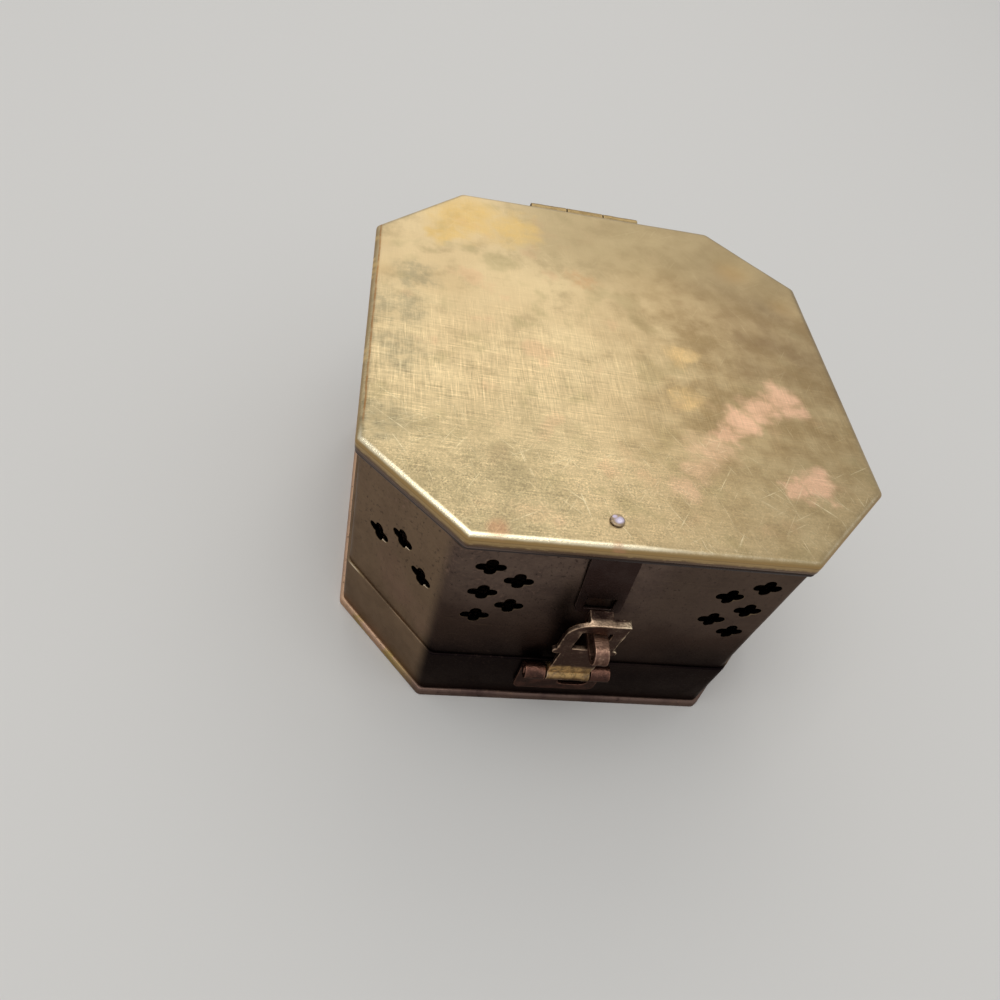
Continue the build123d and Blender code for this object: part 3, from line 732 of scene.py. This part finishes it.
def rubbed_and_lit_brass(name, tones, rubbed_and_lit, amount, knuckle=None):
    """A finish of two dark tones in clouds, with a lighter one for wear on edges and painted light on
    upper faces.

    A knuckle is its axis as (y, z), its tone, the tone of the painted shade below it, and the x of its
    end.
    """
    material, tree, place, (x, _, z) = start_finish(name)
    mottle = add(tree, "TexNoise", {"Vector": place, "Scale": 1 / 3.0, "Detail": 4.0, "Roughness": 0.6})
    patch = add(tree, "TexNoise", {"Vector": place, "Scale": 1 / 1.1, "Detail": 4.0, "Roughness": 0.7})
    speck = add(tree, "TexNoise", {"Vector": place, "Scale": 1 / 0.35, "Detail": 2.0, "Roughness": 0.7})
    colour = layered(tree, tones[0], ((mottle, 0.4, 0.62), tones[1]))
    if knuckle:
        axis, knuckle_tone, under_shade, end = knuckle
        away = add(tree, "VectorMath", {0: place, 1: (0, 1, 1)}, operation="MULTIPLY")
        away = add(tree, "VectorMath", {0: away, 1: (0, *axis)}, out=1, operation="DISTANCE")
        away = add(tree, "Math", {0: mottle, 1: 3.0, 2: away}, operation="MULTIPLY_ADD")
        near = share(tree, (away, 6.3, 4.9), (x, end, end - 4.0, 1.0, 0.7))
        # The yellow knuckle is carried up onto the plate as the lit top of a larger barrel: partly the
        # knuckle's paler brass, partly painted light
        colour = layered(
            tree, colour,
            (near, (patch, 0.62, 0.38, 1.0, 0.35), knuckle_tone),
            # Painted shade under the knuckle
            (near, (z, axis[1] + 1.2, axis[1] - 0.2), under_shade),
        )
    # The mark lightens edges for wear and upper faces as painted light
    wear_and_light = add(tree, "Attribute", out=2, attribute_name="wear_and_light")
    wear_and_light = add(tree, "Math", {0: mottle, 1: 1.6, 2: wear_and_light}, operation="MULTIPLY_ADD")
    wear_and_light = add(tree, "Math", {0: patch, 1: 1.2, 2: wear_and_light}, operation="MULTIPLY_ADD")
    wear_and_light = share(tree, (wear_and_light, 1.55, 2.5, amount))
    if knuckle:
        wear_and_light = share(tree, wear_and_light, (away, 2.9, 4.9, 1.0, 0.5))
        colour = layered(tree, colour, (wear_and_light, rubbed_and_lit))
        # Painted highlight: near-white cream on the hook's edges and upper faces, strongest towards the
        # knuckle's end
        rubbed_and_lit = "#ffe9c6"
        wear_and_light = share(tree, wear_and_light, (x, end - 3.0, end, 1.0, 0.3))
    colour = layered(
        tree, colour,
        (wear_and_light, rubbed_and_lit),
        ((speck, 0.42, 0.3, 0.6), tones[1]),
        ((speck, 0.58, 0.7, 0.7), (wear_and_light, 0.0, 0.5, 1.0, 0.15), rubbed_and_lit),
    )
    gloss = add(tree, "Math", {0: wear_and_light, 1: -0.12, 2: 0.42}, operation="MULTIPLY_ADD")
    height = add(tree, "Math", {0: speck, 1: patch}, operation="ADD")
    end_finish(tree, colour, gloss, height, depth=0.06, glance="#cdc6c1")
    return material


# Handled latch brass: dark in the hollows, rubbed bright in soft patches where fingers reach, and
# lighter on upper faces as painted light. The bracket is flushed with copper, the hook is dark with a
# yellow knuckle that carries painted shade below and a painted highlight, and the eye is pinker
bracket = filed_copy("latch_base", "hook_bracket", grain=0.11, soft_steps=12, uneven=0.04, seed=52)
bracket_brass = rubbed_and_lit_brass("copper_flushed_bracket", ("#533a33", "#382a27"), "#8f6656", amount=0.75)
finish_piece(bracket, bracket_brass, "brass_latch", "box", "latch_base")
pin = filed_copy("latch_pin", "hook_pin", grain=0.1, soft_steps=2, uneven=0.0, seed=53)
finish_piece(pin, bracket_brass, "brass_latch", "box", "latch_pin")
pin_low, pin_high = node_box("latch_pin")
pin_axis = tuple(((pin_low + pin_high) / 2)[1:].tolist())
hook_low, hook_high = node_box("latch_hook")
hook_lean = hook_low[1] + 1.6
hook = filed_copy(
    "latch_hook", "hook", grain=0.11, soft_steps=12, uneven=0.05, seed=51, lean=hook_lean,
)
# The knuckle's axis, its tone, its painted shade below, and the x of its end
hook_knuckle = (pin_axis, "#d0aa72", "#4a3626", hook_high[0] - 1.0)
hook_brass = rubbed_and_lit_brass(
    "dark_hook_brass", ("#3e2d28", "#4a3731"), "#c09b82", amount=1.0, knuckle=hook_knuckle,
)
finish_piece(hook, hook_brass, "brass_latch", "hook", "latch_hook")
eye = filed_copy("staple", "staple_strip", grain=0.1, soft_steps=12, uneven=0.03, seed=54)
eye_brass = rubbed_and_lit_brass("rubbed_and_lit_eye_brass", ("#694c42", "#543d34"), "#c8a088", amount=0.8)
finish_piece(eye, eye_brass, "brass_strap", "box", "staple")


# Lid sheet: a flat sheet of brass, scoured bright many times, so fine scratches cross each other on
# it. It is soldered on its rim and rounded over at the edge, with soft dents from knocks
lid_low, lid_high = node_box("lid_top")
lid_plan = node_plan("lid_top")
lid_rounding = (1.5, 1.1)
# Round dents from knocks, as (x, y, radius, depth)
lid_dents = (
    (-30.0, 12.0, 9.0, 0.22),
    (12.0, 22.0, 12.0, 0.25),
    (20.0, -14.0, 10.0, 0.2),
    (-8.0, -20.0, 14.0, 0.15),
    (-42.0, 14.0, 3.0, 0.3),
    (-42.5, 22.0, 2.5, 0.25),
    (30.0, 30.0, 5.0, 0.4),
    (38.0, 20.0, 4.0, 0.3),
)


def lid_height(x, y):
    """How far the sheet lies below flat: soft ripples, and dents that fall off as exp(-(r/radius)^2)."""
    points = np.stack([x, y], axis=-1)
    drop = 0.06 + 0.04 * ripple(points, 26.0, 5) + 0.012 * ripple(points, 9.0, 6)
    for dent_x, dent_y, radius, depth in lid_dents:
        drop = drop + depth * np.exp(-((x - dent_x) ** 2 + (y - dent_y) ** 2) / radius ** 2)
    return np.clip(drop, 0, None)


lid_points, lid_faces = sheet_piece(
    lid_plan, lid_low[2], lid_high[2], lid_rounding, low_round=0.03, soft=0.5, drop=lid_height,
)
lid_points = lid_points.reshape(-1, 3)
# A painted highlight runs along the edge, strongest 0.64 mm in, where it starts to turn down
lid_inset = depth_in(lid_plan, lid_points[:, 0], lid_points[:, 1])
lid_edge_highlight = np.exp(-((lid_inset - 0.64) / 0.42) ** 2) * (lid_points[:, 2] > lid_low[2] + 0.3)
lid_sheet = new_piece("lid_sheet", lid_points, lid_faces, {"wear_and_light": lid_edge_highlight})


def spots(tree, place, middles, ragged, soft=0.35):
    """A share that is 1 well inside any of some round spots (x, y, radius) and 0 well outside.

    The place is first moved about by clouds, as far as ragged says, so the spots' edges wander.
    """
    wander = add(tree, "TexNoise", {"Vector": place, "Scale": 0.3, "Detail": 4.0}, out=1)
    wander = add(tree, "VectorMath", {0: wander, 1: (0.5, 0.5, 0.5)}, operation="SUBTRACT")
    wander = add(tree, "VectorMath", {0: wander, 3: ragged}, operation="SCALE")
    moved = add(tree, "VectorMath", {0: place, 1: wander}, operation="ADD")
    moved = add(tree, "VectorMath", {0: moved, 1: (1, 1, 0)}, operation="MULTIPLY")
    nearest = None
    for x, y, radius in middles:
        away = add(tree, "VectorMath", {0: moved, 1: (x, y, 0)}, out=1, operation="DISTANCE")
        away = add(tree, "Math", {0: away, 1: radius}, operation="DIVIDE")
        if nearest is not None:
            away = add(tree, "Math", {0: nearest, 1: away}, operation="MINIMUM")
        nearest = away
    return share(tree, (nearest, 0.95 + soft, 0.95 - soft))


# Scoured brass: pale and creamy, with soft clouds, browner to the right and golden at the back left,
# and pink where heat has drawn the copper out. Fine scouring lines cross each other all over and lie
# along the front. Real ones are under 0.1 mm wide and are drawn 0.17 to 0.3 mm wide to show
lid_brass, tree, place, (x, y, z) = start_finish("scoured_sheet_brass")
clouds = add(tree, "TexNoise", {"Vector": place, "Scale": 1 / 22.0, "Detail": 3.0, "Roughness": 0.5})
mottle = add(tree, "TexNoise", {"Vector": place, "Scale": 1 / 6.5, "Detail": 5.0, "Roughness": 0.62})
smears = add(tree, "VectorMath", {0: place, 1: (61.0, 17.0, 9.0)}, operation="ADD")
smears = add(tree, "TexNoise", {"Vector": smears, "Scale": 1 / 9.0, "Detail": 3.0, "Roughness": 0.55})
patch = add(tree, "TexNoise", {"Vector": place, "Scale": 1 / 2.4, "Detail": 5.0, "Roughness": 0.7})
golden = spots(tree, place, ((-27, 35, 7), (-17, 33, 5), (-31, 28, 3)), ragged=9.0, soft=0.6)
yellow = spots(tree, place, ((13, 1, 2.6), (12, -11, 2.8)), ragged=7.0, soft=0.6)
orange = spots(tree, place, ((-4, 19, 3),), ragged=7.0, soft=0.6)
green_places = ((-40, -24, 4), (-38, -8, 5), (-39, 4, 5), (-36, 14, 4))
greenish = spots(tree, place, green_places, ragged=10.0, soft=0.5)
colour = layered(
    tree,
    "#d6be92",
    ((clouds, 0.36, 0.64), "#dfc89b"),
    ((mottle, 0.5, 0.74, 0.6), "#b09c75"),
    ((smears, 0.54, 0.68, 0.5), "#b3a478"),
    ((smears, 0.42, 0.3, 0.45), "#dcb68e"),
    ((x, -12.0, 18.0, 0.9), (y, -34.0, -14.0, 1.0, 0.65), (mottle, 0.25, 0.7, 1.0, 0.4), "#a3895f"),
    ((x, 10.0, 28.0, 0.7), (y, -16.0, 4.0), (smears, 0.3, 0.6, 0.5, 1.0), "#8c7351"),
    ((y, 12.0, 32.0, 0.7), (x, -26.0, -8.0), "#a9966f"),
    ((y, -10.0, -32.0, 0.8), (x, -4.0, -20.0), (mottle, 0.3, 0.6, 1.0, 0.3), "#b3a27b"),
    (golden, (patch, 0.25, 0.65, 0.75, 0.4), "#dbb86e"),
    (yellow, (patch, 0.3, 0.6, 0.75, 0.45), "#e8c68c"),
    (orange, (patch, 0.3, 0.6, 0.5), "#c79a6c"),
    (greenish, (patch, 0.35, 0.6, 0.6, 0.1), "#9d9375"),
)
pink_places = (
    (31, -8, 3.6), (26, -11, 3.4), (21.5, -14.5, 3.2),
    (18, -18.5, 2.6), (27.5, -29, 2.7), (32, -27, 3.2),
)
pink = spots(tree, place, pink_places, ragged=8.0, soft=0.5)
faint = spots(tree, place, ((14, -22, 3.2), (11, -27, 2.8), (7.5, -31, 2.4)), ragged=8.0, soft=0.7)
colour = layered(
    tree,
    colour,
    (faint, (mottle, 0.3, 0.7, 0.35, 0.75), "#e6bf9a"),
    (pink, (mottle, 0.3, 0.7, 0.7, 1.0), "#f6c8a4"),
)
# The scouring: a fine grain, strongest at the front, with lines across the lid and lines up it, each
# kind as (turn, length, width, level it starts at, level it is full at, shift). The mean of three
# kinds is taken off, so that they darken the brass as much as they lighten it
grain = add(tree, "TexNoise", {"Vector": place, "Scale": 1 / 0.3, "Detail": 2.0, "Roughness": 0.8})
grain = add(tree, "Math", {0: grain, 1: 0.5}, operation="SUBTRACT")
hatch = share(tree, grain, (y, -14.0, -34.0, 8.0, 0.9))
across = (
    (1, 2.2, 0.17, 0.34, 0.68, 0.0),
    (4, 6.0, 0.22, 0.34, 0.68, 57.0),
    (2, 7.0, 0.3, 0.54, 0.7, 23.0),
)
upward = (
    (91, 2.2, 0.17, 0.34, 0.68, 31.0),
    (86, 5.0, 0.22, 0.34, 0.68, 71.0),
    (88, 7.0, 0.3, 0.54, 0.7, 13.0),
)
lines_mean = 1.05
for ways, kept in (
    (across, share(tree, (y, -20.0, -38.0, 0.8, 1.0))),
    (upward, share(tree, (y, -12.0, -28.0, 0.25, 1.1))),
):
    total = -lines_mean
    for way in ways:
        total = add(tree, "Math", {0: scratches(tree, place, *way), 1: total}, operation="ADD")
    hatch = add(tree, "Math", {0: total, 1: kept, 2: hatch}, operation="MULTIPLY_ADD")
strength = share(
    tree, (y, 18.0, -14.0, 1.0, 0.1), (patch, 0.3, 0.65, 1.15, 0.35), (x, 28.0, -16.0, 1.0, 0.4),
)
lines = share(tree, hatch, strength)
# Single scratches, some 10 mm long, that run in any direction and are kept towards the front
stray = None
for turn, shift in ((58, 3.0), (122, 17.0), (151, 29.0), (38, 41.0), (75, 53.0)):
    one = scratches(tree, place, turn, 10.0, 0.35, 0.66, 0.77, shift)
    if stray is not None:
        one = add(tree, "Math", {0: stray, 1: one}, operation="MAXIMUM")
    stray = one
stray = share(tree, stray, (y, -6.0, -34.0, 1.0, 0.15))
light = add(tree, "Math", {0: lines, 1: 0.23, 2: 1.0}, operation="MULTIPLY_ADD")
colour = add(tree, "Mix", {0: 1.0, 6: colour, 7: light}, out=2, data_type="RGBA", blend_type="MULTIPLY")
# The turned edge: a painted highlight along the front, fading to the right, painted shade as it turns
# down and at its foot, a brown seam and painted glints in dashes at the left, and orange spots of solder
wear_and_light = add(tree, "Attribute", out=2, attribute_name="wear_and_light")
highlight_reach = share(tree, (y, -20.0, -31.0), (x, 12.0, -8.0, 1.0, 0.45))
bent = add(tree, "Math", {0: mottle, 1: 0.5, 2: x}, operation="MULTIPLY_ADD")
seam = share(
    tree, (bent, -43.05, -42.9), (bent, -42.6, -42.75), (y, -26.0, -22.0), (patch, 0.3, 0.6, 0.85, 0.3),
)
glint_places = (
    (-44.2, 23.5, 0.7), (-44.2, 17.0, 0.6), (-44.2, 15.2, 0.8), (-44.2, 13.4, 0.8),
    (-44.2, 11.7, 0.6), (-44.2, -8.2, 0.7), (-44.2, -10.0, 0.8),
)
glint_dashes = spots(tree, place, glint_places, ragged=0.4, soft=0.7)
solder_places = ((-5.4, -43.4, 0.8), (-5.0, -44.3, 1.0), (-23, -42, 1.6))
solder = spots(tree, place, solder_places, ragged=1.5, soft=0.5)
wear_and_light = share(tree, wear_and_light, highlight_reach)
wear_and_light = add(tree, "Math", {0: patch, 1: 0.5, 2: wear_and_light}, operation="MULTIPLY_ADD")
wear_and_light = share(tree, (wear_and_light, 0.5, 1.15))
colour = layered(
    tree,
    colour,
    (stray, (patch, 0.3, 0.6, 0.8), "#f6e6bb"),
    # Painted shade: darker as the edge turns down
    ((z, lid_high[2] - 0.15, lid_high[2] - 0.75), "#ad8e5e"),
    # Painted highlight along the edge
    (wear_and_light, "#fff0cd"),
    (seam, "#bb8650"),
    # Painted glints in dashes on the left edge
    (glint_dashes, (patch, 0.3, 0.6, 0.5, 0.9), "#fbd793"),
    (solder, (patch, 0.3, 0.6, 0.6, 0.25), "#c99672"),
    # Painted shade: darker at the foot of the edge
    ((z, lid_low[2] + 0.3, lid_low[2] + 0.05), (clouds, 0.3, 0.7, 0.6, 0.35), "#73603f"),
)
gloss = share(tree, (mottle, 0.3, 0.7, 0.44, 0.36))
gloss = add(tree, "Math", {0: wear_and_light, 1: -0.16, 2: gloss}, operation="MULTIPLY_ADD")
height = add(tree, "Math", {0: lines, 1: 0.4, 2: mottle}, operation="MULTIPLY_ADD")
end_finish(tree, colour, gloss, height, depth=0.012)
finish_piece(lid_sheet, lid_brass, "brass_lid", "lid", "lid_top")


# Rim and skirt: two strips of brass bent round under the sheet's edge and soldered to it, the skirt a
# little inside the rim, and both reaching in to the collar. Hands that open the lid polish them
rim_low, rim_high = node_box("lid_rim")
skirt_low, skirt_high = node_box("lid_skirt")
collar_plan = node_plan("lid_collar")
rim = hoop_piece(
    "lid_rim_strip",
    rounded_edge(lid_plan, 0.0, rim_low[2], rim_high[2], low_round=0.3, high_round=0.02)
    + [(collar_plan, 0.0, rim_high[2]), (collar_plan, 0.0, rim_low[2])],
)
skirt_inset = 0.1
skirt = hoop_piece(
    "lid_skirt_strip",
    rounded_edge(lid_plan, -skirt_inset, skirt_low[2], skirt_high[2], low_round=0.25, high_round=0.25)
    + [(collar_plan, 0.0, skirt_high[2]), (collar_plan, 0.0, skirt_low[2])],
)
# Handled brass: golden where it stands out, browner lower down as painted shade, with a dark line in the
# joint of the two and a nearly black skirt, whose top edge carries a thin painted highlight at the left
edge_brass, tree, place, (x, _, z) = start_finish("edge_brass_light_and_shade")
mottle = add(tree, "TexNoise", {"Vector": place, "Scale": 1 / 5.0, "Detail": 5.0, "Roughness": 0.65})
patch = add(tree, "TexNoise", {"Vector": place, "Scale": 1 / 1.3, "Detail": 4.0, "Roughness": 0.7})
rise = add(tree, "Math", {0: mottle, 1: 0.5}, operation="SUBTRACT")
rise = add(tree, "Math", {0: rise, 1: 1.0, 2: z}, operation="MULTIPLY_ADD")
solder_places = ((-5.4, -45, 0.9), (-43, 21, 1.5), (-43, 12, 1.2), (12, -45, 0.8))
solder = spots(tree, place, solder_places, ragged=2.0)
colour = layered(
    tree,
    "#ad9164",
    ((mottle, 0.45, 0.7, 0.6), "#9a7d50"),
    # Painted shade: browner lower down the rim
    ((rise, rim_low[2] + 1.4, rim_low[2] + 0.5), "#634c38"),
    (
        (rise, rim_low[2] + 0.75, rim_low[2] + 0.9),
        (rise, rim_low[2] + 1.1, rim_low[2] + 0.95),
        (patch, 0.48, 0.62, 0.5),
        "#cdb27e",
    ),
    ((patch, 0.58, 0.7, 0.45), (z, rim_low[2] + 0.9, rim_low[2] + 0.1), "#8d6c4b"),
    (solder, "#c08a68"),
    ((z, skirt_high[2] + 0.22, skirt_high[2] + 0.05), "#241b18"),
    ((z, skirt_high[2] - 0.02, skirt_high[2] - 0.12), "#322824"),
    # Painted highlight: a lighter line on the skirt's top edge at the left
    ((z, skirt_high[2] - 0.02, skirt_high[2] - 0.12), (x, -8.0, -26.0, 0.8, 0.1), "#76655c"),
    ((z, skirt_low[2] + 0.6, skirt_low[2] + 0.35), "#2c2322"),
)
gloss = share(tree, (mottle, 0.3, 0.7, 0.38, 0.26))
height = add(tree, "Math", {0: patch, 1: mottle}, operation="ADD")
end_finish(tree, colour, gloss, height, depth=0.02)
finish_piece(rim, edge_brass, "brass_edge", "lid", "lid_rim")
finish_piece(skirt, edge_brass, "brass_edge", "lid", "lid_skirt")


# Collar: a strip of the wall's tarnished brass soldered under the lid. It drops inside the wall and
# centres the lid, and its lower edge is filed to a slant
collar_low, collar_high = node_box("lid_collar")
collar_sheet = 0.8
collar_slant = 0.2
collar_profile = [
    (collar_plan, 0.0, collar_low[2] + collar_slant),
    (collar_plan, 0.0, collar_high[2]),
    (collar_plan, -collar_sheet, collar_high[2]),
    (collar_plan, -collar_sheet, collar_low[2] + collar_slant),
    (collar_plan, -collar_sheet + collar_slant, collar_low[2]),
    (collar_plan, -collar_slant, collar_low[2]),
]
collar = hoop_piece("lid_collar_strip", collar_profile)
join_up(collar)
finish_piece(collar, wall_brass, "brass_wall", "lid", "lid_collar")


# Strap and rivet: a strip of nearly black brass under the lid, lighter on upper faces as painted light,
# bent down over the front with a slot for the hook's tooth, and the rivet that holds it, its head grey
# with tin
strap = filed_copy("lid_tab", "lid_strap", grain=0.12, soft_steps=6, uneven=0.02, seed=55)
strap_brass = rubbed_and_lit_brass("black_strap_brass", ("#372a28", "#3e3230"), "#5c4b44", amount=0.45)
finish_piece(strap, strap_brass, "brass_strap", "lid", "lid_tab")
rivet = filed_copy("tab_rivet", "lid_rivet", grain=0.07, soft_steps=14, uneven=0.05, seed=56)
# Tinned brass: worn through to brown brass round its edge, and pale grey-violet on its head
rivet_metal, tree, place, _ = start_finish("tin_grey_rivet")
patch = add(tree, "TexNoise", {"Vector": place, "Scale": 1 / 0.6, "Detail": 3.0, "Roughness": 0.7})
tin = spots(tree, place, ((-5.0, -38.9, 0.75), (-5.7, -38.1, 0.3)), ragged=2.4)
bright_tin = spots(tree, place, ((-4.9, -39.0, 0.4),), ragged=1.5)
colour = layered(
    tree,
    "#b39c7c",
    ((patch, 0.4, 0.6, 0.8), "#8f7c6c"),
    (tin, "#c9bfd4"),
    (bright_tin, (patch, 0.3, 0.5), "#e6def0"),
)
gloss = share(tree, (patch, 0.3, 0.7, 0.3, 0.42))
end_finish(tree, colour, gloss, patch, depth=0.05)
finish_piece(rivet, rivet_metal, "brass_rivet", "lid", "tab_rivet")


# Hinge: two leaves of handled brass, lighter on upper faces as painted light, rolled round a rod. The
# lower leaf is riveted to the back of the wall with three studs, and the upper one is fixed under the
# lid
hinge_brass = rubbed_and_lit_brass("handled_and_lit_hinge_brass", ("#8f7750", "#665438"), "#c2a878", amount=0.8)
for node, name, body, slot, uneven, seed in (
    ("hinge_leaf_lid", "hinge_strap", "lid", "brass_strap", 0.0, 57),
    ("hinge_leaf_body", "hinge_leaf", "box", "brass_strap", 0.03, 58),
    ("hinge_pin", "hinge_rod", "box", "brass_rivet", 0.0, 59),
    ("hinge_rivets", "hinge_studs", "box", "brass_rivet", 0.03, 60),
):
    fitting = filed_copy(node, name, grain=0.12, soft_steps=4, uneven=uneven, seed=seed)
    finish_piece(fitting, hinge_brass, slot, body, node)
